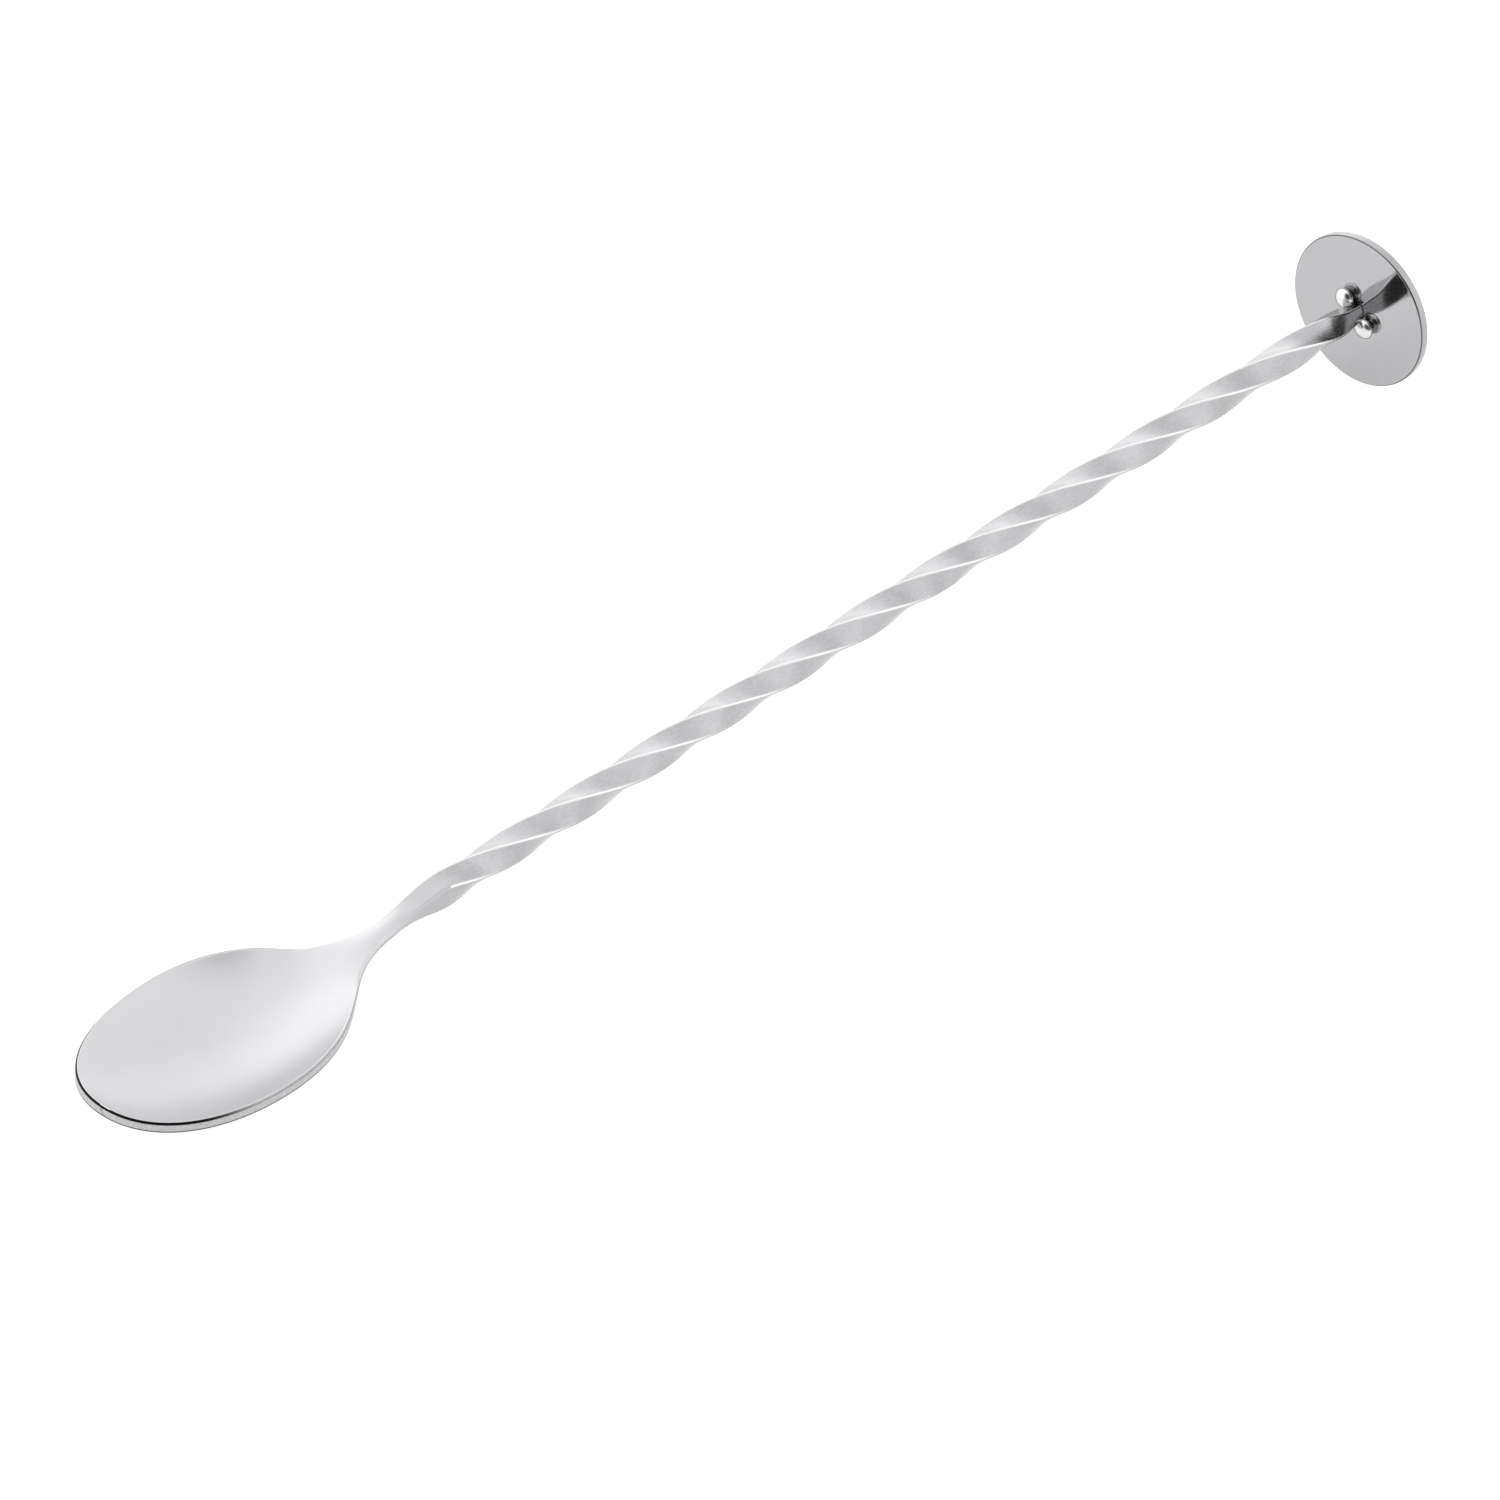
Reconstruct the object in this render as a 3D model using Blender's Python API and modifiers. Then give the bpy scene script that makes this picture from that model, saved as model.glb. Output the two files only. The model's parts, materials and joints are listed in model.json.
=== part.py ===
"""Twisted bar spoon with a flat round masher disc.

The spoon is drawn along its stem: +X runs from the bowl's tip to the disc, +Z out of the
bowl's mouth, and the stem's axis is the line Y = Z = 0. One empty then lays the finished
spoon on a surface, on the bowl's keel and the disc's rim, with the origin under the middle
of its box.
"""

import math

import bmesh
import bpy
from mathutils import Matrix, Vector

MM = 0.001

# Overall
OVERALL_LENGTH = 280.7 * MM
TOUCHING_GAP = 0.3 * MM

# Bowl, pressed from sheet
BOWL_WIDEST_X = 23.8 * MM
BOWL_HALF_WIDTH = 15.4 * MM
TIP_BLUNTNESS = 10.1 * MM
FRONT_FULLNESS = 13.0 * MM
BACK_FULLNESS = 19.6 * MM
HEEL_TAPER = 13.8 * MM
BOWL_DEPTH = 6.5 * MM
DEPTH_POWER = 2.0
DEPTH_LEAN = 0.2
SHEET = 1.65 * MM
RIM_LAND = 0.3 * MM

# Rim height at stations along the spoon, as (x, z) in millimetres
RIM_HEIGHTS = (
    (0.0, -1.85),
    (12.0, -1.65),
    (23.8, -1.3),
    (34.0, -0.85),
    (41.0, -0.85),
    (48.0, -1.65),
    (54.0, -1.45),
    (59.7, -1.05),
)

# Neck, forged from the heel's strap to the square bar
STRAP_BLEND_START_X = 42.0 * MM
STRAP_BLEND_END_X = 54.0 * MM
STRAP_END_X = 59.7 * MM
STRAP_HALF_WIDTH = 1.7 * MM
STRAP_CROWN = 0.3 * MM
NECK_END_X = 71.2 * MM

# Neck sections, as (x, half-width, top, bottom) in millimetres
NECK_SECTIONS = (
    (48.0, 5.4, -1.65, -3.2),
    (54.0, 2.6, -1.45, -2.95),
    (59.7, 1.7, -1.05, -2.4),
    (61.8, 1.66, -0.65, -2.05),
    (64.0, 1.68, -0.05, -2.0),
    (66.5, 1.8, 0.45, -2.2),
    (69.0, 1.93, 0.85, -2.6),
    (71.2, 1.97, 1.07, -2.87),
)

# Twisted square bar; it runs a little low behind the bowl
BAR_HALF_FLAT = 1.97 * MM
BAR_CORNER_RADIUS = 0.45 * MM
QUARTER_TURN = 15.86 * MM
TWIST_START_X = 71.5 * MM
BAR_DROP = 0.9 * MM
DROP_START_X = 70.0 * MM
DROP_END_X = 185.0 * MM
WELD_WIDTH = 0.8 * MM
TWIST_END_X = 275.5 * MM
END_LAG = math.radians(9.0)
LAG_START_X = 246.0 * MM
LAG_FULL_X = 262.0 * MM
NARROWED_LENGTH = 8.0 * MM
NARROWING = 0.48
NARROWING_POWER = 1.4

# Masher disc and its two weld beads
DISC_RADIUS = 12.55 * MM
DISC_THICKNESS = 1.5 * MM
DISC_EDGE_ROUNDING = 0.3 * MM
BEAD_ANGLE = math.radians(39.7)
BEAD_OFFSET = 2.7 * MM
BEAD_RADIAL = 1.6 * MM
BEAD_TANGENTIAL = 1.65 * MM
BEAD_AXIAL = 1.0 * MM

# Mesh density
ARC_POINTS = 20
BOX_CORNER_POINTS = 3
FRONT_STATIONS = 14
BACK_STATIONS = 18
NECK_STATIONS = 12
CORNER_SEGMENTS = 2
BAR_STEPS_PER_TURN = 32
DISC_SIDES = 72

SATIN_STEEL = ((0.74, 0.74, 0.75, 1.0), 0.26)
BRIGHT_STEEL = ((0.78, 0.78, 0.79, 1.0), 0.12)
WELD_STEEL = ((0.70, 0.70, 0.71, 1.0), 0.18)


def clear_scene():
    for obj in list(bpy.data.objects):
        bpy.data.objects.remove(obj, do_unlink=True)


def new_collection(name):
    collection = bpy.data.collections.new(name)
    bpy.context.scene.collection.children.link(collection)
    return collection


def steel(name, look):
    """A bare stainless steel material of one colour and roughness."""
    colour, roughness = look
    material = bpy.data.materials.new(name)
    material.use_nodes = True
    shader = material.node_tree.nodes["Principled BSDF"]
    shader.inputs["Base Color"].default_value = colour
    shader.inputs["Metallic"].default_value = 1.0
    shader.inputs["Roughness"].default_value = roughness
    return material


def add_object(name, mesh, collection, material=None):
    obj = bpy.data.objects.new(name, mesh)
    collection.objects.link(obj)
    if material is not None:
        mesh.materials.append(material)
    return obj


def finish_mesh(name, shape):
    """A smooth-shaded mesh from a bmesh, with its faces pointing out."""
    bmesh.ops.recalc_face_normals(shape, faces=shape.faces)
    mesh = bpy.data.meshes.new(name)
    shape.to_mesh(mesh)
    shape.free()
    mesh.shade_smooth()
    mesh.set_sharp_from_angle(angle=math.radians(35.0))
    return mesh


def smoothstep(value, start, end):
    share = min(max((value - start) / (end - start), 0.0), 1.0)
    return share * share * (3.0 - 2.0 * share)


def bezier(points, t):
    """A point on a cubic Bezier curve in the plane."""
    weights = ((1 - t) ** 3, 3 * (1 - t) ** 2 * t, 3 * (1 - t) * t**2, t**3)
    across = sum(w * p[0] for w, p in zip(weights, points))
    up = sum(w * p[1] for w, p in zip(weights, points))
    return Vector((across, up))


def through(stations, x):
    """A smooth curve through (x, value) stations given in millimetres, read at x."""
    points = [(a * MM, b * MM) for a, b in stations]
    last = len(points) - 1
    i = next((k for k in range(last) if x <= points[k + 1][0]), last - 1)
    slopes = []
    for k in (i, i + 1):
        before, after = points[max(k - 1, 0)], points[min(k + 1, last)]
        slopes.append((after[1] - before[1]) / (after[0] - before[0]))
    (x0, z0), (x1, z1) = points[i], points[i + 1]
    span = x1 - x0
    t = min(max((x - x0) / span, 0.0), 1.0)
    return (
        (2 * t**3 - 3 * t**2 + 1) * z0
        + (t**3 - 2 * t**2 + t) * span * slopes[0]
        + (3 * t**2 - 2 * t**3) * z1
        + (t**3 - t**2) * span * slopes[1]
    )


def neck_section(x):
    """Half-width, top and bottom of the neck at x."""
    return [through([(s[0], s[column]) for s in NECK_SECTIONS], x) for column in (1, 2, 3)]


def plan_outline():
    """Half of the bowl's outline from above, as (x, half-width) from the tip to the strap."""
    front = (
        (0.0, 0.0),
        (0.0, TIP_BLUNTNESS),
        (BOWL_WIDEST_X - FRONT_FULLNESS, BOWL_HALF_WIDTH),
        (BOWL_WIDEST_X, BOWL_HALF_WIDTH),
    )
    back = (
        (BOWL_WIDEST_X, BOWL_HALF_WIDTH),
        (BOWL_WIDEST_X + BACK_FULLNESS, BOWL_HALF_WIDTH),
        (STRAP_END_X - HEEL_TAPER, STRAP_HALF_WIDTH),
        (STRAP_END_X, STRAP_HALF_WIDTH),
    )
    first = 0.02
    step = (1 - first) / FRONT_STATIONS
    points = [bezier(front, first + step * k) for k in range(FRONT_STATIONS + 1)]
    points += [bezier(back, k / BACK_STATIONS) for k in range(1, BACK_STATIONS + 1)]
    return points


def bowl_depth(x, half_width):
    """Depth of the hollow below the rim: it follows the width, and leans towards the heel."""
    lean = 1.0 + DEPTH_LEAN * (x - BOWL_WIDEST_X) / BOWL_WIDEST_X
    return BOWL_DEPTH * (half_width / BOWL_HALF_WIDTH) ** DEPTH_POWER * lean


def arc_across(x, half_width, rim, depth):
    """Points on a circular arc across the spoon, from -Y to +Y, sagging by depth."""
    radius = (half_width**2 + depth**2) / (2 * depth)
    reach = math.atan2(half_width, radius - depth)
    points = []
    for k in range(ARC_POINTS):
        angle = reach * (2 * k / (ARC_POINTS - 1) - 1)
        rise = radius * (1 - math.cos(angle))
        points.append(Vector((x, radius * math.sin(angle), rim - depth + rise)))
    return points


def bowl_ring(x, half_width, land, inward):
    """The pressed sheet's outline at x: the underside, then the hollow side back."""
    under = arc_across(x, half_width, through(RIM_HEIGHTS, x) - SHEET, bowl_depth(x, half_width))
    hollow_half = max(half_width - land, 0.6 * half_width)
    hollow_x = x + inward
    hollow_depth = bowl_depth(hollow_x, hollow_half)
    hollow = arc_across(hollow_x, hollow_half, through(RIM_HEIGHTS, hollow_x), hollow_depth)
    return under + hollow[::-1]


def box_ring(x, half_width, top, bottom, corner, crown):
    """A rounded rectangle at x in the same order: the lower half from -Y, then the upper half back."""
    middle, split = (top + bottom) / 2, 0.1 * (top - bottom)
    flats = ARC_POINTS - 2 - 2 * (BOX_CORNER_POINTS + 1)
    ring = []
    for side, edge in ((-1, bottom), (1, top)):
        half = [Vector((x, side * half_width, middle + side * split))]
        for turn_y in (side, -side):
            arc = []
            for k in range(BOX_CORNER_POINTS + 1):
                angle = math.pi / 2 * k / BOX_CORNER_POINTS
                y = turn_y * (half_width - corner + corner * math.cos(angle))
                arc.append(Vector((x, y, edge - side * corner * (1 - math.sin(angle)))))
            if turn_y == side:
                half += arc
                reach = half_width - corner
                half += [
                    Vector((x, side * reach * (1 - 2 * k / (flats + 1)), edge)) for k in range(1, flats + 1)
                ]
            else:
                half += arc[::-1]
        half.append(Vector((x, -side * half_width, middle + side * split)))
        ring += half
    for point in ring[ARC_POINTS:]:
        point.z += crown * max(0.0, 1.0 - (point.y / (half_width - corner)) ** 2)
    return ring


def bowl_rings():
    """Cross-sections of the bowl and its neck, from the tip to the bar's section."""
    outline = plan_outline()
    rings = []
    for k, point in enumerate(outline):
        before, after = outline[max(k - 1, 0)], outline[min(k + 1, len(outline) - 1)]
        tangent = (after - before).normalized()
        inward = RIM_LAND * max(tangent.y, 0.0) if k else RIM_LAND
        land = RIM_LAND * abs(tangent.x) if k else 0.0
        ring = bowl_ring(point.x, point.y, land, inward)
        share = smoothstep(point.x, STRAP_BLEND_START_X, STRAP_BLEND_END_X)
        if share > 0.0:
            _, top, bottom = neck_section(point.x)
            crown = STRAP_CROWN * smoothstep(point.x, STRAP_BLEND_START_X, STRAP_END_X)
            strap = box_ring(point.x, point.y, top, bottom, BAR_CORNER_RADIUS, crown)
            ring = [a.lerp(b, share) for a, b in zip(ring, strap)]
        rings.append(ring)
    for k in range(1, NECK_STATIONS + 1):
        share = k / NECK_STATIONS
        x = STRAP_END_X + (NECK_END_X - STRAP_END_X) * share
        half_width, top, bottom = neck_section(x)
        crown = STRAP_CROWN * (1.0 - smoothstep(share, 0.0, 0.5))
        rings.append(box_ring(x, half_width, top, bottom, BAR_CORNER_RADIUS, crown))
    return rings


def twist_at(x):
    """The bar's right-hand twist about +X, zero where the neck ends."""
    return math.pi / 2 * (x - TWIST_START_X) / QUARTER_TURN


def bar_untwist(x):
    """The turn taken back near the disc: the twist slackens a little, then stops."""
    lag = END_LAG * smoothstep(x, LAG_START_X, LAG_FULL_X)
    return -lag - math.pi / 2 * max(0.0, x - TWIST_END_X) / QUARTER_TURN


def bar_narrowing(x):
    """How far the bar's section has narrowed at x: only its last few millimetres do."""
    end = OVERALL_LENGTH - DISC_THICKNESS
    share = min(max((x - end + NARROWED_LENGTH) / NARROWED_LENGTH, 0.0), 1.0)
    return 1.0 - NARROWING * share**NARROWING_POWER


def bar_height(x):
    """Height of the bar's middle at x."""
    return -BAR_DROP * (1.0 - smoothstep(x, DROP_START_X, DROP_END_X))


def loft(name, rings):
    """A closed body through rings of equal point counts."""
    shape = bmesh.new()
    rows = [[shape.verts.new(point) for point in ring] for ring in rings]
    count = len(rows[0])
    for lower, upper in zip(rows, rows[1:]):
        for k in range(count):
            after = (k + 1) % count
            shape.faces.new((lower[k], lower[after], upper[after], upper[k]))
    shape.faces.new(rows[0])
    shape.faces.new(rows[-1])
    bmesh.ops.triangulate(shape, faces=[f for f in shape.faces if len(f.verts) > 4])
    return finish_mesh(name, shape)


def square_profile(half_flat, corner_radius, x):
    """A rounded square outline as a loop of edges in the plane of that x."""
    shape = bmesh.new()
    points = []
    for corner in range(4):
        middle = math.pi / 4 + corner * math.pi / 2
        reach = math.sqrt(2) * (half_flat - corner_radius)
        centre = Vector((0.0, reach * math.cos(middle), reach * math.sin(middle)))
        for k in range(CORNER_SEGMENTS + 1):
            turn = middle + math.pi / 2 * (k / CORNER_SEGMENTS - 0.5)
            points.append(centre + corner_radius * Vector((0.0, math.cos(turn), math.sin(turn))))
        flat = middle + math.pi / 4
        points.append(half_flat * Vector((0.0, math.cos(flat), math.sin(flat))))
    turned = Matrix.Rotation(twist_at(x), 3, "X")
    verts = [shape.verts.new(turned @ point + Vector((x, 0.0, 0.0))) for point in points]
    for k, vert in enumerate(verts):
        shape.edges.new((vert, verts[(k + 1) % len(verts)]))
    return shape


def twisted_bar(name, start, end, half_flat, corner_radius, collection, material=None):
    """A rounded square bar twisted about +X: its outline screwed along the axis."""
    shape = square_profile(half_flat, corner_radius, start)
    mesh = bpy.data.meshes.new(name + "_outline")
    shape.to_mesh(mesh)
    shape.free()
    outline = add_object(name + "_outline", mesh, collection)
    screw = outline.modifiers.new("twist", "SCREW")
    screw.axis = "X"
    screw.angle = twist_at(end) - twist_at(start)
    screw.screw_offset = end - start
    screw.steps = max(1, round(BAR_STEPS_PER_TURN * screw.angle / (2 * math.pi)))
    screw.render_steps = screw.steps
    solid = bmesh.new()
    depsgraph = bpy.context.evaluated_depsgraph_get()
    swept = bpy.data.meshes.new_from_object(outline.evaluated_get(depsgraph))
    solid.from_mesh(swept)
    bpy.data.objects.remove(outline, do_unlink=True)
    bmesh.ops.remove_doubles(solid, verts=solid.verts, dist=0.001 * MM)
    for vert in solid.verts:
        held = bar_untwist(vert.co.x)
        size = bar_narrowing(vert.co.x)
        vert.co = Matrix.Rotation(held, 3, "X") @ vert.co
        vert.co.y *= size
        vert.co.z = vert.co.z * size + bar_height(vert.co.x)
    bmesh.ops.holes_fill(solid, edges=[e for e in solid.edges if e.is_boundary], sides=0)
    return add_object(name, finish_mesh(name, solid), collection, material)


def make_bowl(collection):
    material = steel("satin_bowl_steel", SATIN_STEEL)
    return add_object("spoon_bowl", loft("spoon_bowl", bowl_rings()), collection, material)


def make_neck_weld(collection):
    start = NECK_END_X + TOUCHING_GAP
    material = steel("neck_weld_steel", WELD_STEEL)
    end = start + WELD_WIDTH
    return twisted_bar("neck_weld", start, end, BAR_HALF_FLAT, BAR_CORNER_RADIUS, collection, material)


def make_stem(collection):
    start = NECK_END_X + WELD_WIDTH + 2 * TOUCHING_GAP
    end = OVERALL_LENGTH - DISC_THICKNESS - TOUCHING_GAP
    material = steel("satin_stem_steel", SATIN_STEEL)
    return twisted_bar("twisted_stem", start, end, BAR_HALF_FLAT, BAR_CORNER_RADIUS, collection, material)


def make_disc(collection):
    """The masher: a round plate square to the stem, with softly rounded edges."""
    shape = bmesh.new()
    bmesh.ops.create_cone(
        shape,
        cap_ends=True,
        segments=DISC_SIDES,
        radius1=DISC_RADIUS,
        radius2=DISC_RADIUS,
        depth=DISC_THICKNESS,
        matrix=Matrix.Rotation(math.pi / 2, 4, "Y"),
    )
    material = steel("disc_steel", BRIGHT_STEEL)
    disc = add_object("masher_disc", finish_mesh("masher_disc", shape), collection, material)
    disc.location = (OVERALL_LENGTH - DISC_THICKNESS / 2, 0.0, 0.0)
    bevel = disc.modifiers.new("edge rounding", "BEVEL")
    bevel.width = DISC_EDGE_ROUNDING
    bevel.segments = 3
    bevel.limit_method = "ANGLE"
    return disc


def make_beads(collection, cutters):
    """Two beads of weld metal on opposite corners of the bar, seated against the disc's front face."""
    face_x = OVERALL_LENGTH - DISC_THICKNESS
    socket = twisted_bar(
        "bead_socket_cutter",
        face_x - 6.0 * MM,
        face_x + 2.0 * MM,
        BAR_HALF_FLAT + TOUCHING_GAP,
        BAR_CORNER_RADIUS + TOUCHING_GAP,
        cutters,
    )
    socket.hide_render = True
    socket.display_type = "WIRE"
    beads = []
    for number, angle in enumerate((BEAD_ANGLE, BEAD_ANGLE + math.pi), start=1):
        name = f"disc_weld_bead_{number}"
        shape = bmesh.new()
        bmesh.ops.create_uvsphere(shape, u_segments=16, v_segments=10, radius=1.0)
        bmesh.ops.scale(shape, vec=(BEAD_AXIAL, BEAD_RADIAL, BEAD_TANGENTIAL), verts=shape.verts)
        bead = add_object(name, finish_mesh(name, shape), collection, steel(name + "_steel", WELD_STEEL))
        bead.rotation_euler = (angle, 0.0, 0.0)
        x = face_x - TOUCHING_GAP - BEAD_AXIAL
        bead.location = (x, BEAD_OFFSET * math.cos(angle), BEAD_OFFSET * math.sin(angle))
        cut = bead.modifiers.new("seat on the bar", "BOOLEAN")
        cut.operation = "DIFFERENCE"
        cut.object = socket
        beads.append(bead)
    return beads, socket


def lay_on_surface(parts, guides):
    """Parents everything to one empty that rests the spoon on its keel and on the disc's rim."""
    bowl = next(p for p in parts if p.name == "spoon_bowl")
    points = [v.co.copy() for v in bowl.data.vertices]
    disc_rim = [
        Vector((x, 0.0, -DISC_RADIUS))
        for x in (OVERALL_LENGTH - DISC_THICKNESS + DISC_EDGE_ROUNDING, OVERALL_LENGTH - DISC_EDGE_ROUNDING)
    ]
    tilt = 0.0
    for _ in range(6):
        turn = Matrix.Rotation(-tilt, 3, "Y")
        keel = min(points, key=lambda p: (turn @ p).z)
        rim = min(disc_rim, key=lambda p: (turn @ p).z)
        tilt += math.atan2((turn @ keel).z - (turn @ rim).z, (turn @ rim).x - (turn @ keel).x)
    turn = Matrix.Rotation(-tilt, 3, "Y")
    disc_back = Vector((OVERALL_LENGTH, 0.0, -DISC_RADIUS + DISC_EDGE_ROUNDING))
    laid = [turn @ p for p in points + disc_rim + [disc_back]]
    low_x, high_x = min(p.x for p in laid), max(p.x for p in laid)
    rest = bpy.data.objects.new("rest_pose", None)
    bpy.context.scene.collection.objects.link(rest)
    rest.rotation_euler = (0.0, -tilt, 0.0)
    rest.location = (-(low_x + high_x) / 2, 0.0, -min(p.z for p in laid))
    for obj in parts + guides:
        obj.parent = rest


def main():
    clear_scene()
    spoon = new_collection("bar_spoon")
    cutters = new_collection("cutters")
    beads, socket = make_beads(spoon, cutters)
    parts = [make_bowl(spoon), make_neck_weld(spoon), make_stem(spoon), make_disc(spoon)] + beads
    lay_on_surface(parts, [socket])


main()
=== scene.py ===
"""Looks for the twisted bar spoon: finer pieces, steel materials and a pale studio."""

import json
import math

import bpy
import numpy as np
from mathutils import Matrix, Vector


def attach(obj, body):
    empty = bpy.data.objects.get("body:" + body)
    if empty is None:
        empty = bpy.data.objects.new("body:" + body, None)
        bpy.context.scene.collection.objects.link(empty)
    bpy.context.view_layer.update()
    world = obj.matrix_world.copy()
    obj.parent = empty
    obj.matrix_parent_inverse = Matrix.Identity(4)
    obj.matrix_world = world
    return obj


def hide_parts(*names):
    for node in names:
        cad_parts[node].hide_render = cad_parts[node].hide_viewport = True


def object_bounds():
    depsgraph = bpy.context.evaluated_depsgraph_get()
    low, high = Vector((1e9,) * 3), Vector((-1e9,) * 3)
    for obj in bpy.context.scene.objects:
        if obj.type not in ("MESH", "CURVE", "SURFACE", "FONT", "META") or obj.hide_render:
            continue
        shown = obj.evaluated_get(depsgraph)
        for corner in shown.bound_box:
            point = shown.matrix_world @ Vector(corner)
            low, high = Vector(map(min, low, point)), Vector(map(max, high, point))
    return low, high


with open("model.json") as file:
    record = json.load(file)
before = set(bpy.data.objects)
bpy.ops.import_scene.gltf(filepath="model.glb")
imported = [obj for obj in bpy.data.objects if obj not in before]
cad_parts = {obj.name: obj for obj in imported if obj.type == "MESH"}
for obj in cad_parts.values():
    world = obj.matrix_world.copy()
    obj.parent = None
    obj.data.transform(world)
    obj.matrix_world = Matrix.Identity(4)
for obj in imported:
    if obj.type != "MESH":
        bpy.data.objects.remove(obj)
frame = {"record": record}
cad_low, cad_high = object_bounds()

MM = 0.001

# The spoon's own frame: x in millimetres from the bowl's tip along the stem, z out of the bowl.
# The record's mount on the disc's far face fixes where it lies.
OVERALL_LENGTH = 280.7
disc_face = next(m for m in frame["record"]["mounts"] if m["name"] == "disc_face")
AXIS_X = np.array(disc_face["axis"]) / np.linalg.norm(disc_face["axis"])
AXIS_Y = np.array([0.0, 1.0, 0.0])
AXES = np.column_stack([AXIS_X, AXIS_Y, np.cross(AXIS_X, AXIS_Y)])
FACE_POINT = np.array(disc_face["pos_m"])

# Bowl and rim, in millimetres, as in the CAD
WIDEST_X, HALF_WIDTH = 23.8, 15.4
TIP_BLUNTNESS, FRONT_FULLNESS, BACK_FULLNESS, HEEL_TAPER = 10.1, 13.0, 19.6, 13.8
BOWL_DEPTH, DEPTH_POWER, DEPTH_LEAN = 6.5, 2.0, 0.2
SHEET, RIM_LAND, KEEL_SHARE = 1.65, 0.3, 0.992
RIM_HEIGHTS = (
    (0.0, -1.85),
    (12.0, -1.65),
    (23.8, -1.3),
    (34.0, -0.85),
    (41.0, -0.85),
    (48.0, -1.65),
    (54.0, -1.45),
    (59.7, -1.05),
)

# Neck
STRAP_BLEND = (42.0, 54.0)
STRAP_END_X, STRAP_HALF_WIDTH, STRAP_CROWN = 59.7, 1.7, 0.3
NECK_END_X = 71.5
NECK_SECTIONS = (
    (48.0, 5.4, -1.65, -3.2),
    (54.0, 2.6, -1.45, -2.95),
    (59.7, 1.7, -1.05, -2.4),
    (61.8, 1.66, -0.65, -2.05),
    (64.0, 1.68, -0.05, -2.0),
    (66.5, 1.8, 0.45, -2.2),
    (69.0, 1.93, 0.85, -2.6),
    (71.5, 1.97, 1.07, -2.87),
)

# Twisted bar
HALF_FLAT, CORNER = 1.97, 0.45
QUARTER_TURN, TWIST_START_X, TWIST_EASE = 15.86, 71.5, 2.0
BAR_DROP, DROP_START_X, DROP_END_X = 0.9, 70.0, 185.0
WELD_WIDTH, TWIST_END_X = 0.8, 275.5
END_LAG, LAG_START_X, LAG_FULL_X = math.radians(9.0), 246.0, 262.0
NARROWED_LENGTH, NARROWING, NARROWING_POWER = 8.0, 0.48, 1.4

# Disc and beads
DISC_RADIUS, DISC_THICKNESS, DISC_ROUNDING = 12.55, 1.5, 0.3
BEAD_ANGLE, BEAD_OFFSET, BEAD_SIZE = math.radians(39.7), 2.7, (1.0, 1.6, 1.65)

# Mesh density
ARC_POINTS, SIDE_POINTS, CORNER_POINTS = 73, 13, 10


def smoothstep(value, start, end):
    share = np.clip((value - start) / (end - start), 0.0, 1.0)
    return share * share * (3.0 - 2.0 * share)


def through(stations, x):
    """A smooth curve through (x, value) stations, read at x."""
    last = len(stations) - 1
    i = next((k for k in range(last) if x <= stations[k + 1][0]), last - 1)
    slopes = []
    for k in (i, i + 1):
        before, after = stations[max(k - 1, 0)], stations[min(k + 1, last)]
        slopes.append((after[1] - before[1]) / (after[0] - before[0]))
    (x0, z0), (x1, z1) = stations[i], stations[i + 1]
    span = x1 - x0
    t = min(max((x - x0) / span, 0.0), 1.0)
    return (
        (2 * t**3 - 3 * t**2 + 1) * z0
        + (t**3 - 2 * t**2 + t) * span * slopes[0]
        + (3 * t**2 - 2 * t**3) * z1
        + (t**3 - t**2) * span * slopes[1]
    )


def bezier(points, t):
    weights = ((1 - t) ** 3, 3 * (1 - t) ** 2 * t, 3 * (1 - t) * t**2, t**3)
    return sum(w * np.array(p) for w, p in zip(weights, points))


def plan_outline(front_count, back_count):
    """Half of the bowl's outline from above, from the tip to the strap."""
    front = (
        (0.0, 0.0),
        (0.0, TIP_BLUNTNESS),
        (WIDEST_X - FRONT_FULLNESS, HALF_WIDTH),
        (WIDEST_X, HALF_WIDTH),
    )
    back = (
        (WIDEST_X, HALF_WIDTH),
        (WIDEST_X + BACK_FULLNESS, HALF_WIDTH),
        (STRAP_END_X - HEEL_TAPER, STRAP_HALF_WIDTH),
        (STRAP_END_X, STRAP_HALF_WIDTH),
    )
    first_share = 0.035
    shares = first_share + (1 - first_share) * np.linspace(0.0, 1.0, front_count) ** 1.25
    points = [bezier(front, t) for t in shares]
    points += [bezier(back, t) for t in np.linspace(0.0, 1.0, back_count)[1:]]
    return np.array(points)


def neck_section(x):
    """Half-width, top and bottom of the neck at x."""
    return [through([(s[0], s[column]) for s in NECK_SECTIONS], x) for column in (1, 2, 3)]


def bowl_depth(x, half_width):
    """Depth of the hollow below the rim."""
    lean = 1.0 + DEPTH_LEAN * (x - WIDEST_X) / WIDEST_X
    return BOWL_DEPTH * (half_width / HALF_WIDTH) ** DEPTH_POWER * lean


def arc_across(x, half_width, rim, depth):
    """A circular arc across the spoon from -Y to +Y, sagging by depth."""
    radius = (half_width**2 + depth**2) / (2 * depth)
    reach = math.atan2(half_width, radius - depth)
    angle = reach * np.linspace(-1.0, 1.0, ARC_POINTS)
    z = rim - depth + radius * (1 - np.cos(angle))
    return np.column_stack([np.full(ARC_POINTS, x), radius * np.sin(angle), z])


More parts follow.
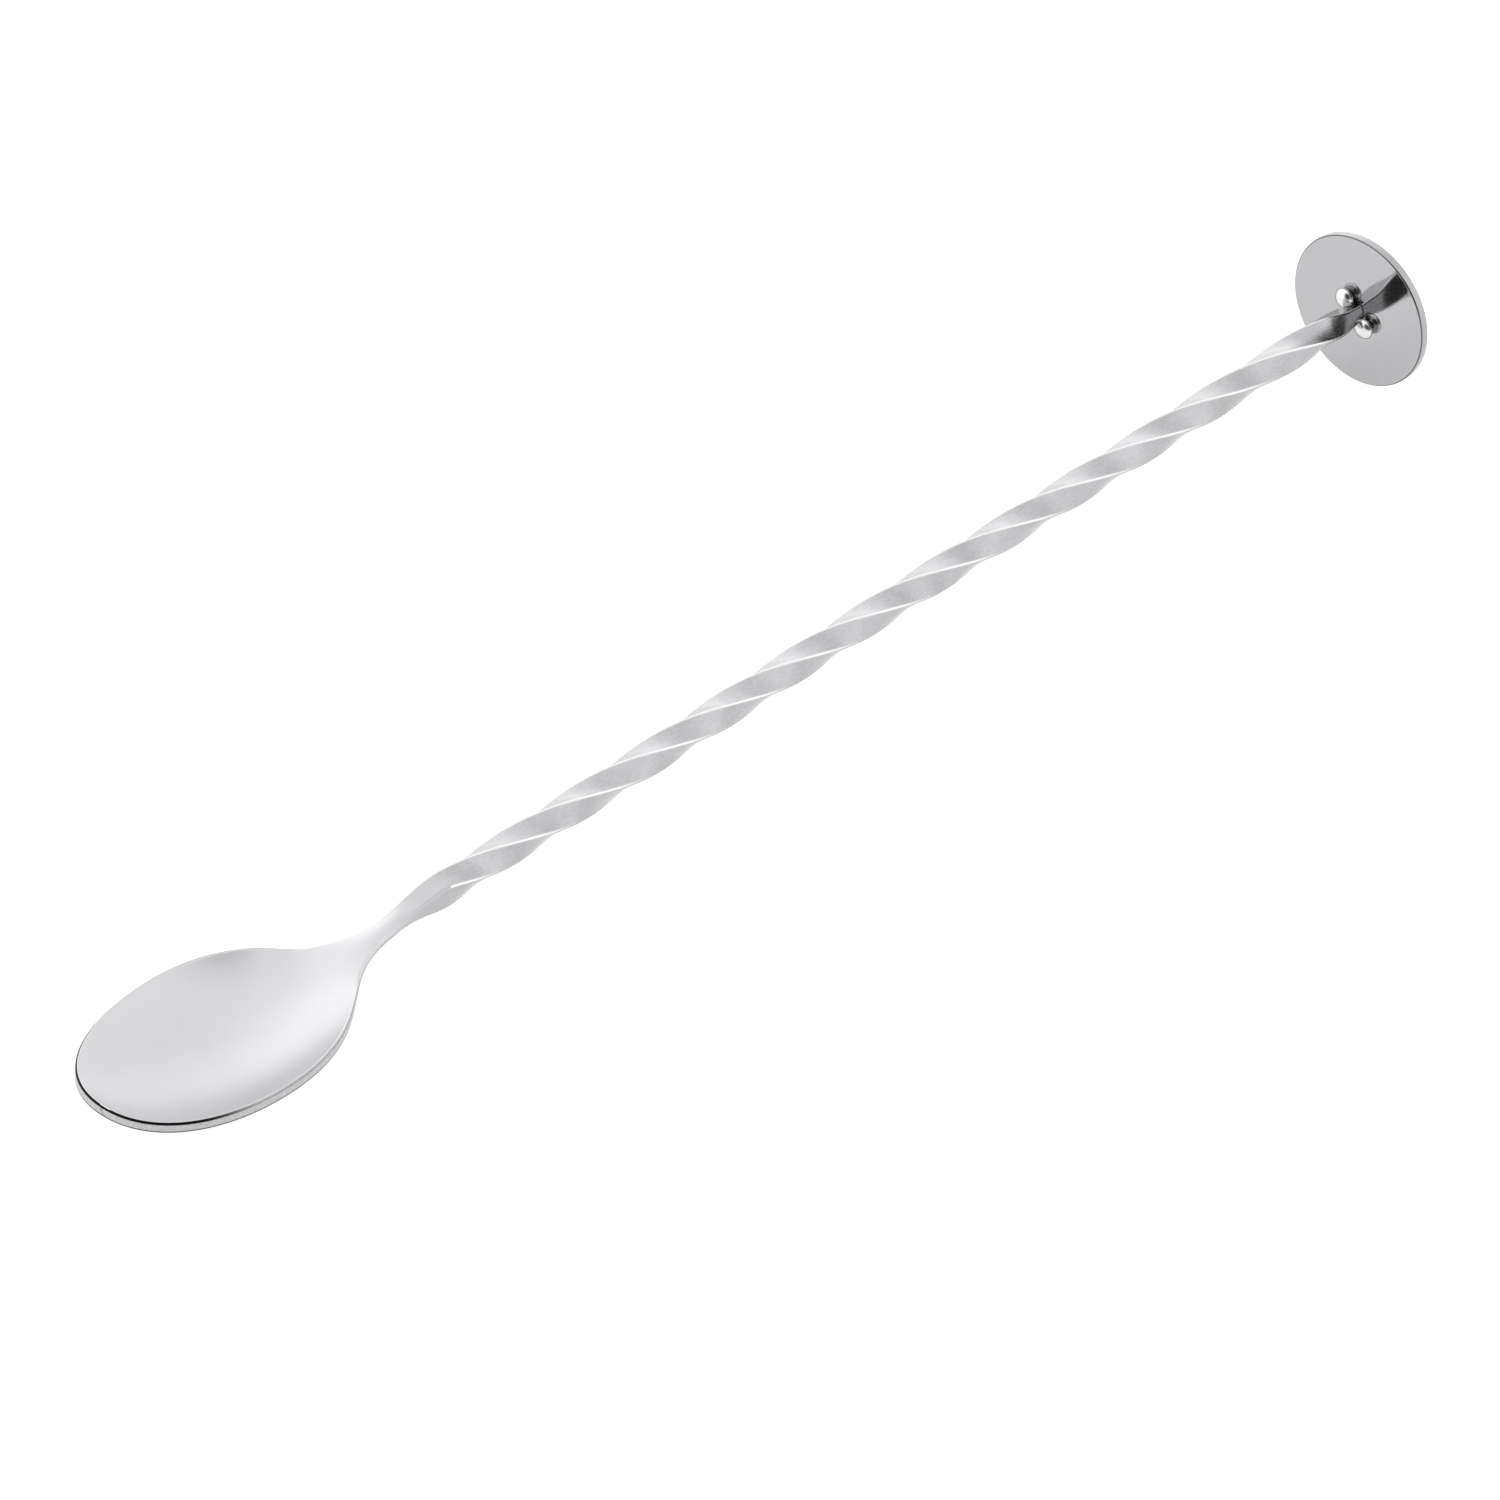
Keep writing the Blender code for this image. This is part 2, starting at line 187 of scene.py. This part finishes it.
def cut_edge(under, hollow, round_over):
    """The sheet's edge from the underside up to the hollow: a flat with its top corner rounded."""
    share = np.linspace(0.0, 1.0, SIDE_POINTS + 2)[1:-1]
    rise = np.minimum(share / 0.7, 1.0)
    turn = np.clip((share - 0.7) / 0.3, 0.0, 1.0) * math.pi / 2
    points = under + (hollow - under) * np.sin(turn)[:, None] * 0.999
    corner_z = hollow[2] - round_over * (1 - np.sin(turn))
    flat_z = under[2] + (hollow[2] - round_over - under[2]) * rise
    points[:, 2] = np.where(share < 0.7, flat_z, corner_z)
    return points


def bowl_ring(x, half_width, land, inward):
    """The pressed sheet at x: underside, far edge, hollow side back, near edge."""
    under_depth = KEEL_SHARE * bowl_depth(x, half_width)
    under = arc_across(x, half_width, through(RIM_HEIGHTS, x) - SHEET, under_depth)
    hollow_half = max(half_width - land, 0.6 * half_width)
    hollow_x = x + inward
    hollow_depth = bowl_depth(hollow_x, hollow_half)
    hollow = arc_across(hollow_x, hollow_half, through(RIM_HEIGHTS, hollow_x), hollow_depth)[::-1]
    far = cut_edge(under[-1], hollow[0], 0.25)
    near = cut_edge(under[0], hollow[-1], 0.25)[::-1]
    return np.vstack([under, far, hollow, near])


def box_half(x, half_width, mid, edge, corner, side):
    """Half of a rounded rectangle, from its middle height round to the other side."""
    flats = ARC_POINTS - 2 * CORNER_POINTS - 2
    reach = half_width - corner
    turn = np.linspace(0.0, math.pi / 2, CORNER_POINTS)
    y = reach + corner * np.cos(turn)
    z = edge - side * corner * (1 - np.sin(turn))
    flat_y = reach * (1 - 2 * np.arange(1, flats + 1) / (flats + 1))
    ys = np.concatenate([[half_width], y, flat_y, -y[::-1], [-half_width]]) * side
    zs = np.concatenate([[mid], z, np.full(flats, edge), z[::-1], [mid]])
    return np.column_stack([np.full(ARC_POINTS, x), ys, zs])


def box_ring(x, half_width, top, bottom, corner, crown):
    """A rounded rectangle at x with the same point order as the bowl's rings."""
    middle, split = (top + bottom) / 2, 0.1 * (top - bottom)
    lower = box_half(x, half_width, middle - split, bottom, corner, -1)
    upper = box_half(x, half_width, middle + split, top, corner, 1)
    upper[:, 2] += crown * np.maximum(0.0, 1.0 - (upper[:, 1] / (half_width - corner)) ** 2)
    share = (np.arange(1, SIDE_POINTS + 1) / (SIDE_POINTS + 1))[:, None]
    far = lower[-1] + (upper[0] - lower[-1]) * share
    near = upper[-1] + (lower[0] - upper[-1]) * share
    return np.vstack([lower, far, upper, near])


def twist_at(x):
    """The bar's right-hand twist: eased in, a little slack near the disc, stopped short of it."""
    rate = math.pi / 2 / QUARTER_TURN
    past = min(x, TWIST_END_X) - TWIST_START_X
    if past <= -TWIST_EASE:
        return 0.0
    if past >= TWIST_EASE:
        return rate * past - END_LAG * smoothstep(x, LAG_START_X, LAG_FULL_X)
    return rate * (past + TWIST_EASE) ** 2 / (4 * TWIST_EASE)


def bar_height(x):
    return -BAR_DROP * (1.0 - smoothstep(x, DROP_START_X, DROP_END_X))


def turned(ring, angle, height):
    """A ring turned about the bar's middle."""
    c, s = math.cos(angle), math.sin(angle)
    y, z = ring[:, 1].copy(), ring[:, 2] - height
    ring = ring.copy()
    ring[:, 1] = c * y - s * z
    ring[:, 2] = s * y + c * z + height
    return ring


def bowl_rings():
    outline = plan_outline(70, 90)
    rings = []
    for k, (x, half_width) in enumerate(outline):
        before, after = outline[max(k - 1, 0)], outline[min(k + 1, len(outline) - 1)]
        tangent = (after - before) / np.linalg.norm(after - before)
        land = RIM_LAND * abs(tangent[0])
        inward = RIM_LAND * max(tangent[1], 0.0)
        ring = bowl_ring(x, half_width, land, inward)
        share = smoothstep(x, *STRAP_BLEND)
        if share > 0.0:
            _, top, bottom = neck_section(x)
            crown = STRAP_CROWN * smoothstep(x, STRAP_BLEND[0], STRAP_END_X)
            strap = box_ring(x, half_width, top, bottom, CORNER, crown)
            ring = ring * (1 - share) + strap * share
        rings.append(ring)
    for x in np.linspace(STRAP_END_X, NECK_END_X, 41)[1:]:
        share = (x - STRAP_END_X) / (NECK_END_X - STRAP_END_X)
        width, top, bottom = neck_section(x)
        crown = STRAP_CROWN * (1.0 - smoothstep(share, 0.0, 0.5))
        ring = box_ring(x, width, top, bottom, CORNER, crown)
        rings.append(turned(ring, twist_at(x), bar_height(x)))
    return rings


def bar_rings(stations):
    """Rounded square rings along the twisted bar, narrowing over its last few millimetres."""
    rings = []
    end = OVERALL_LENGTH - DISC_THICKNESS
    for x in stations:
        share = min(max((x - end + NARROWED_LENGTH) / NARROWED_LENGTH, 0.0), 1.0)
        size = 1.0 - NARROWING * share**NARROWING_POWER
        height = bar_height(x)
        half = HALF_FLAT * size
        ring = box_ring(x, half, height + half, height - half, CORNER * size, 0.0)
        rings.append(turned(ring, twist_at(x), height))
    return rings


def place(points):
    """From the spoon's own frame in millimetres to the row frame in metres."""
    offset = (np.asarray(points, float) - [OVERALL_LENGTH, 0.0, 0.0]) * MM
    return FACE_POINT + offset @ AXES.T


def add_piece(name, vertices, faces, node, material):
    """A smooth piece that stands for a CAD node."""
    mesh = bpy.data.meshes.new(name)
    mesh.from_pydata([tuple(v) for v in vertices], [], faces)
    mesh.validate()
    mesh.shade_smooth()
    mesh.materials.append(material)
    obj = bpy.data.objects.new(name, mesh)
    bpy.context.scene.collection.objects.link(obj)
    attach(obj, "root")
    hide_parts(node)
    return obj


def ring_piece(name, rings, node, material, caps=(True, True), marks=None):
    """A piece lofted through closed rings of equal counts; marks are (u, v) for each vertex."""
    count = len(rings[0])
    vertices = place(np.vstack(rings))
    faces = []
    for r in range(len(rings) - 1):
        low, high = r * count, (r + 1) * count
        for k in range(count):
            after = (k + 1) % count
            faces.append((low + k, high + k, high + after, low + after))
    if caps[0]:
        faces.append(tuple(range(count)))
    if caps[1]:
        faces.append(tuple(reversed(range((len(rings) - 1) * count, len(rings) * count))))
    obj = add_piece(name, vertices, faces, node, material)
    if marks is not None:
        layer = obj.data.uv_layers.new(name="marks")
        for loop in obj.data.loops:
            layer.data[loop.index].uv = marks[loop.vertex_index]
    return obj


def bowl_marks(rings):
    """u is 1 at the bowl's front and fades to the neck; v rises over the cut edge from 0 to 1."""
    edge = np.linspace(0.0, 1.0, SIDE_POINTS + 2)[1:-1]
    v = np.concatenate([np.zeros(ARC_POINTS), edge, np.ones(ARC_POINTS), edge[::-1]])
    marks = []
    for ring in rings:
        x = ring[0][0]
        # u also sets the strength of the painted dark crease reflection, which is strongest on the
        # bowl's front.
        u = 1.0 - 0.66 * smoothstep(x, 8.2, 17.7) - 0.34 * smoothstep(x, 56.0, 68.0)
        marks += [(u, value) for value in v]
    return marks


def bar_marks(rings):
    """u is 1 along the bar's four corners and 0 on its flats."""
    half = np.zeros(ARC_POINTS)
    half[1 : CORNER_POINTS + 1] = np.sin(np.linspace(0.0, math.pi, CORNER_POINTS)) ** 2
    half[-CORNER_POINTS - 1 : -1] = np.sin(np.linspace(0.0, math.pi, CORNER_POINTS)) ** 2
    side = np.zeros(SIDE_POINTS)
    return [(value, 0.0) for value in np.concatenate([half, side, half, side])] * len(rings)


def disc_marks(rings):
    """u is 1 round the disc's edge and 0 on its faces; v is 1 on the two roundings beside it."""
    marks = []
    for ring in rings:
        radius = math.hypot(ring[0][1], ring[0][2])
        depth = min(ring[0][0] - OVERALL_LENGTH + DISC_THICKNESS, OVERALL_LENGTH - ring[0][0])
        on_edge = 1.0 if depth > 0.02 and radius > DISC_RADIUS - 0.6 else 0.0
        # on_rounding marks where the painted dark reflection line goes.
        on_rounding = on_edge if 0.02 < depth < 0.16 else 0.0
        marks += [(on_edge, on_rounding)] * len(ring)
    return marks


def disc_rings():
    """Rings of the disc from its front face's middle, round its edge, to the back."""
    face_x = OVERALL_LENGTH - DISC_THICKNESS
    profile = [(face_x, r) for r in (0.02, 2.0, 5.0, 8.0, 10.5, DISC_RADIUS - DISC_ROUNDING - 0.25)]
    for turn in np.linspace(0.0, math.pi / 2, 9):
        r = DISC_RADIUS - DISC_ROUNDING * (1 - math.sin(turn))
        profile.append((face_x + DISC_ROUNDING * (1 - math.cos(turn)), r))
    for turn in np.linspace(math.pi / 2, 0.0, 9):
        r = DISC_RADIUS - DISC_ROUNDING * (1 - math.sin(turn))
        profile.append((OVERALL_LENGTH - DISC_ROUNDING * (1 - math.cos(turn)), r))
    back = (DISC_RADIUS - DISC_ROUNDING - 0.25, 10.5, 8.0, 5.0, 2.0, 0.02)
    profile += [(OVERALL_LENGTH, r) for r in back]
    angles = np.linspace(0.0, 2 * math.pi, 288, endpoint=False)
    rings = []
    for x, r in profile:
        rings.append(np.column_stack([np.full(288, x), -r * np.cos(angles), -r * np.sin(angles)]))
    return rings


def bead_mesh(angle, seed):
    """A slightly uneven rounded bead sitting on the bar's corner and the disc."""
    rows, columns = 40, 64
    middle_x = OVERALL_LENGTH - DISC_THICKNESS - BEAD_SIZE[0]
    polar = np.linspace(0.02, math.pi - 0.02, rows)
    around = np.linspace(0.0, 2 * math.pi, columns, endpoint=False)
    rings = []
    for p in polar:
        sway = 1.0 + 0.035 * np.sin(2 * around + seed) * math.sin(p) + 0.02 * math.cos(3 * p + seed)
        x = middle_x - BEAD_SIZE[0] * math.cos(p) * np.ones(columns)
        radial = BEAD_OFFSET + BEAD_SIZE[1] * math.sin(p) * np.cos(around) * sway
        side = BEAD_SIZE[2] * math.sin(p) * np.sin(around) * sway
        y = radial * math.cos(angle) - side * math.sin(angle)
        z = radial * math.sin(angle) + side * math.cos(angle)
        rings.append(np.column_stack([x, y, z]))
    return rings


class Nodes:
    """A short way to lay out shader nodes."""

    def __init__(self, tree):
        self.tree = tree

    def add(self, kind, inputs=None, **settings):
        node = self.tree.nodes.new(kind)
        for name, value in settings.items():
            setattr(node, name, value)
        for key, value in (inputs or {}).items():
            if isinstance(value, bpy.types.NodeSocket):
                self.tree.links.new(value, node.inputs[key])
            else:
                node.inputs[key].default_value = value
        return node

    def math(self, operation, a, b=0.0, clamp=False):
        node = self.add("ShaderNodeMath", {0: a, 1: b}, operation=operation)
        node.use_clamp = clamp
        return node.outputs[0]

    def range(self, value, low, high, to_low, to_high):
        inputs = {"Value": value, "From Min": low, "From Max": high}
        inputs |= {"To Min": to_low, "To Max": to_high}
        return self.add("ShaderNodeMapRange", inputs).outputs[0]


def steel(
    name, colour, roughness, spread, grain, grain_scale, bump, mottling=0.03, finish_and_painted_light=None, tone=0.015
):
    """Stainless steel: stretched grain, slow mottling, and a finish for marked edges that also paints
    highlights and dark reflections on them.
    """
    material = bpy.data.materials.new(name)
    material.use_nodes = True
    nodes = Nodes(material.node_tree)
    shader = material.node_tree.nodes["Principled BSDF"]
    shader.inputs["Metallic"].default_value = 1.0
    place_at = nodes.add("ShaderNodeTexCoord").outputs["Object"]
    stretched = nodes.add("ShaderNodeMapping", {"Vector": place_at, "Scale": grain_scale}).outputs[0]
    fine = nodes.add(
        "ShaderNodeTexNoise", {"Vector": stretched, "Scale": grain, "Detail": 5.0, "Roughness": 0.62}
    ).outputs["Fac"]
    slow = nodes.add(
        "ShaderNodeTexNoise", {"Vector": place_at, "Scale": 170.0, "Detail": 3.0, "Roughness": 0.5}
    ).outputs["Fac"]
    level = nodes.range(fine, 0.3, 0.7, roughness - spread, roughness + spread)
    level = nodes.math("ADD", level, nodes.range(slow, 0.3, 0.7, -mottling, mottling), clamp=True)
    darker = [c * (1 - tone) for c in colour]
    lighter = [min(1.0, c * (1 + tone)) for c in colour]
    half_fine, half_slow = nodes.math("MULTIPLY", fine, 0.5), nodes.math("MULTIPLY", slow, 0.5)
    grain_tone = nodes.math("ADD", half_fine, half_slow)
    surface = blend(nodes, nodes.range(grain_tone, 0.4, 0.6, 0.0, 1.0), darker, lighter)
    if finish_and_painted_light is not None:
        surface, level = finish_and_painted_light(nodes, surface, level)
    nodes.tree.links.new(level, shader.inputs["Roughness"])
    nodes.tree.links.new(surface, shader.inputs["Base Color"])
    relief = nodes.add("ShaderNodeBump", {"Height": fine, "Strength": bump, "Distance": 0.00002})
    nodes.tree.links.new(relief.outputs[0], shader.inputs["Normal"])
    return material


def blend(nodes, share, first, second):
    mix = nodes.add("ShaderNodeMix", data_type="RGBA")
    nodes.tree.links.new(share, mix.inputs["Factor"])
    for key, value in (("A", first), ("B", second)):
        if isinstance(value, bpy.types.NodeSocket):
            nodes.tree.links.new(value, mix.inputs[key])
        else:
            mix.inputs[key].default_value = (*value, 1.0)
    return mix.outputs["Result"]


def band(nodes, value, low, high, soft):
    """1 between low and high, falling to 0 over soft on each side."""
    rising = nodes.range(value, low - soft, low, 0.0, 1.0)
    falling = nodes.range(value, high, high + soft, 1.0, 0.0)
    return nodes.math("MULTIPLY", rising, falling, clamp=True)


def read_marks(nodes):
    uv = nodes.add("ShaderNodeUVMap", uv_map="marks").outputs[0]
    split = nodes.add("ShaderNodeSeparateXYZ", {0: uv})
    return split.outputs[0], split.outputs[1]


def turning_away(nodes, low, high):
    """0 where the surface faces the eye, 1 where it has turned away past high."""
    facing = nodes.add("ShaderNodeLayerWeight", {"Blend": 0.5}).outputs["Facing"]
    return nodes.range(facing, low, high, 0.0, 1.0)


def bowl_finish_and_painted_light(nodes, surface, level):
    """A grey cut edge with a painted dark reflection line at its foot, a painted highlight along the
    lip and a painted dark reflection in the crease under it, and a neck that ends like the stem.
    """
    on_bowl, up_edge = read_marks(nodes)
    speckle = nodes.add(
        "ShaderNodeTexNoise",
        {"Vector": nodes.add("ShaderNodeTexCoord").outputs["Object"], "Scale": 5200.0, "Detail": 2.0},
    ).outputs["Fac"]
    present = nodes.math("MULTIPLY", on_bowl, 3.0, clamp=True)
    cut = nodes.math("MULTIPLY", band(nodes, up_edge, 0.06, 0.74, 0.05), present)
    # Mask for a painted dark reflection line along the foot of the cut edge.
    foot_dark_reflection = nodes.math("MULTIPLY", band(nodes, up_edge, 0.02, 0.09, 0.03), present)
    # Mask for a painted highlight along the lip, the sheet's top edge.
    lip_highlight = nodes.math("MULTIPLY", band(nodes, up_edge, 0.94, 0.985, 0.01), present)
    # Mask for a painted dark reflection in the crease under the lip, strongest towards the bowl's
    # front.
    crease_dark_reflection = nodes.math("MULTIPLY", band(nodes, up_edge, 0.66, 0.88, 0.04), on_bowl)
    speckled = nodes.range(speckle, 0.35, 0.65, 0.0, 1.0)
    grey = blend(nodes, speckled, (0.4, 0.4, 0.41), (0.58, 0.58, 0.59))
    surface = blend(nodes, cut, surface, grey)
    # Painted dark reflection line at the foot of the cut edge.
    surface = blend(nodes, nodes.math("MULTIPLY", foot_dark_reflection, 0.85), surface, (0.04, 0.04, 0.042))
    # Painted highlight on the lip.
    surface = blend(nodes, nodes.math("MULTIPLY", lip_highlight, 0.8), surface, (0.8, 0.8, 0.81))
    # Painted dark reflection in the crease.
    surface = blend(nodes, crease_dark_reflection, surface, (0.01, 0.01, 0.011))
    level = nodes.math("ADD", level, nodes.math("MULTIPLY", cut, 0.14), clamp=True)
    to_stem = nodes.range(on_bowl, 0.3, 0.0, 0.0, 1.0)
    surface = blend(nodes, to_stem, surface, (0.4, 0.402, 0.41))
    level = nodes.math("SUBTRACT", level, nodes.math("MULTIPLY", to_stem, 0.13), clamp=True)
    return surface, level


def bar_polish_and_painted_light(nodes, surface, level):
    """Corners brighter than the flats, partly rubbed polish and partly a painted highlight, with a
    painted dark reflection where they turn away from the eye.
    """
    corner, _ = read_marks(nodes)
    # Painted highlight on the corners, laid over their real polish.
    surface = blend(nodes, nodes.math("MULTIPLY", corner, 0.8), surface, (0.8, 0.8, 0.81))
    # Painted dark reflection on the corners where they turn away from the eye.
    away = nodes.math("MULTIPLY", turning_away(nodes, 0.35, 0.7), corner)
    surface = blend(nodes, nodes.math("MULTIPLY", away, 0.75), surface, (0.05, 0.05, 0.052))
    return surface, level


def bead_painted_shade(nodes, surface, level):
    """A painted dark reflection round the bead where it turns away from the eye."""
    # Painted dark outline, standing in for a dark reflection at grazing angles.
    away = nodes.math("MULTIPLY", turning_away(nodes, 0.5, 0.75), 0.9)
    return blend(nodes, away, surface, (0.03, 0.03, 0.032)), level


def disc_finish_and_painted_lines(nodes, surface, level):
    """A duller turned edge, and on each rounding a fine line of painted dark reflection."""
    edge, rounding = read_marks(nodes)
    surface = blend(nodes, nodes.math("MULTIPLY", edge, 0.9), surface, (0.36, 0.36, 0.37))
    # Painted dark reflection line on each rounding.
    surface = blend(nodes, nodes.math("MULTIPLY", rounding, 0.75), surface, (0.05, 0.05, 0.052))
    level = nodes.math("ADD", level, nodes.math("MULTIPLY", edge, 0.18), clamp=True)
    return surface, level


ALONG = (0.12, 1.0, 1.0)
bowl_steel = steel(
    "satin_bowl", (0.53, 0.532, 0.542), 0.4, 0.02, 2600.0, ALONG, 0.05, 0.01, bowl_finish_and_painted_light
)
stem_steel = steel(
    "satin_stem", (0.4, 0.402, 0.41), 0.24, 0.07, 3400.0, (0.3, 1.0, 1.0), 0.5, 0.03, bar_polish_and_painted_light, 0.09
)
disc_steel = steel(
    "polished_disc", (0.42, 0.42, 0.43), 0.08, 0.015, 1500.0, (1.0, 1.0, 0.3), 0.05, 0.01, disc_finish_and_painted_lines
)
bead_steel = steel(
    "weld_bead", (0.68, 0.68, 0.68), 0.24, 0.03, 900.0, (1.0, 1.0, 1.0), 0.25, 0.03, bead_painted_shade
)

bowl = bowl_rings()
ring_piece(
    "bowl_and_neck", bowl, "spoon_bowl", bowl_steel, (True, False), bowl_marks(bowl)
)
weld_end = NECK_END_X + WELD_WIDTH
face_x = OVERALL_LENGTH - DISC_THICKNESS
weld = bar_rings(np.linspace(NECK_END_X, weld_end, 5))
ring_piece(
    "neck_butt_weld", weld, "neck_weld", stem_steel, (False, False), bar_marks(weld)
)
bar = bar_rings(np.linspace(weld_end, face_x, 560))
ring_piece(
    "twisted_bar", bar, "twisted_stem", stem_steel, (False, True), bar_marks(bar)
)
plate = disc_rings()
ring_piece(
    "masher_plate", plate, "masher_disc", disc_steel, marks=disc_marks(plate)
)
upper_bead, lower_bead = bead_mesh(BEAD_ANGLE, 0.6), bead_mesh(BEAD_ANGLE + math.pi, 2.1)
ring_piece("weld_bead_upper", upper_bead, "disc_weld_bead_1", bead_steel)
ring_piece("weld_bead_lower", lower_bead, "disc_weld_bead_2", bead_steel)

# Floor
floor_mesh = bpy.data.meshes.new("floor")
reach = 3.0
floor_corners = [(-reach, -reach, 0.0), (reach, -reach, 0.0), (reach, reach, 0.0), (-reach, reach, 0.0)]
floor_mesh.from_pydata(floor_corners, [], [(0, 1, 2, 3)])
floor = bpy.data.objects.new("floor", floor_mesh)
floor.location.z = cad_low.z - 0.00005
bpy.context.scene.collection.objects.link(floor)
floor_material = bpy.data.materials.new("pale_floor")
floor_material.use_nodes = True
floor_shader = floor_material.node_tree.nodes["Principled BSDF"]
floor_shader.inputs["Base Color"].default_value = (0.36, 0.36, 0.36, 1.0)
floor_shader.inputs["Roughness"].default_value = 0.6
floor_shader.inputs["Specular IOR Level"].default_value = 0.2
floor_shader.inputs["Emission Color"].default_value = (1.0, 1.0, 1.0, 1.0)
floor_shader.inputs["Emission Strength"].default_value = 0.85
floor_mesh.materials.append(floor_material)

# Studio: an even pale surround, brighter on the far side and dark behind the camera
world = bpy.data.worlds.new("studio")
bpy.context.scene.world = world
world.use_nodes = True
sky = Nodes(world.node_tree)
direction = sky.add("ShaderNodeTexCoord").outputs["Generated"]


def glow(towards, inner, outer, amount):
    """Light of that amount within inner of a direction's cosine, none beyond outer."""
    towards = Vector(towards).normalized()
    along = sky.add("ShaderNodeVectorMath", {0: direction, 1: towards}, operation="DOT_PRODUCT")
    ramp = sky.add(
        "ShaderNodeMapRange",
        {"Value": along.outputs["Value"], "From Min": outer, "From Max": inner, "To Max": amount},
        interpolation_type="SMOOTHSTEP",
    )
    return ramp.outputs[0]


light = sky.math("ADD", 1.5, glow((0.3, 0.95, 0.1), 0.9, 0.3, 0.35))
light = sky.math("ADD", light, glow((0.64, 0.1, 0.76), 0.95, 0.7, -0.2))
light = sky.math("ADD", light, glow((-0.64, -0.66, 0.4), 0.84, 0.66, -1.45))
background = world.node_tree.nodes["Background"]
world.node_tree.links.new(light, background.inputs["Strength"])
background.inputs["Color"].default_value = (1.0, 1.0, 1.0, 1.0)

# Camera, at the photograph's angle
AIM = Vector((0.00002, -0.00014, -0.00019))
AZIMUTH, ELEVATION, ROLL = math.radians(-51.883), math.radians(36.067), math.radians(5.258)
DISTANCE, LENS = 2.7738, 452.78
camera_data = bpy.data.cameras.new("camera")
camera_data.lens = LENS
camera_data.clip_end = 20.0
camera = bpy.data.objects.new("camera", camera_data)
bpy.context.scene.collection.objects.link(camera)
back = Vector(
    (
        math.sin(AZIMUTH) * math.cos(ELEVATION),
        -math.cos(AZIMUTH) * math.cos(ELEVATION),
        math.sin(ELEVATION),
    )
)
level_right = Vector((0.0, 0.0, 1.0)).cross(back).normalized()
level_up = back.cross(level_right)
right = level_right * math.cos(ROLL) + level_up * math.sin(ROLL)
up = back.cross(right)
turn = Matrix((right, up, back)).transposed().to_4x4()
camera.matrix_world = Matrix.Translation(AIM + back * DISTANCE) @ turn
bpy.context.scene.camera = camera
bpy.context.scene.view_settings.view_transform = "Standard"
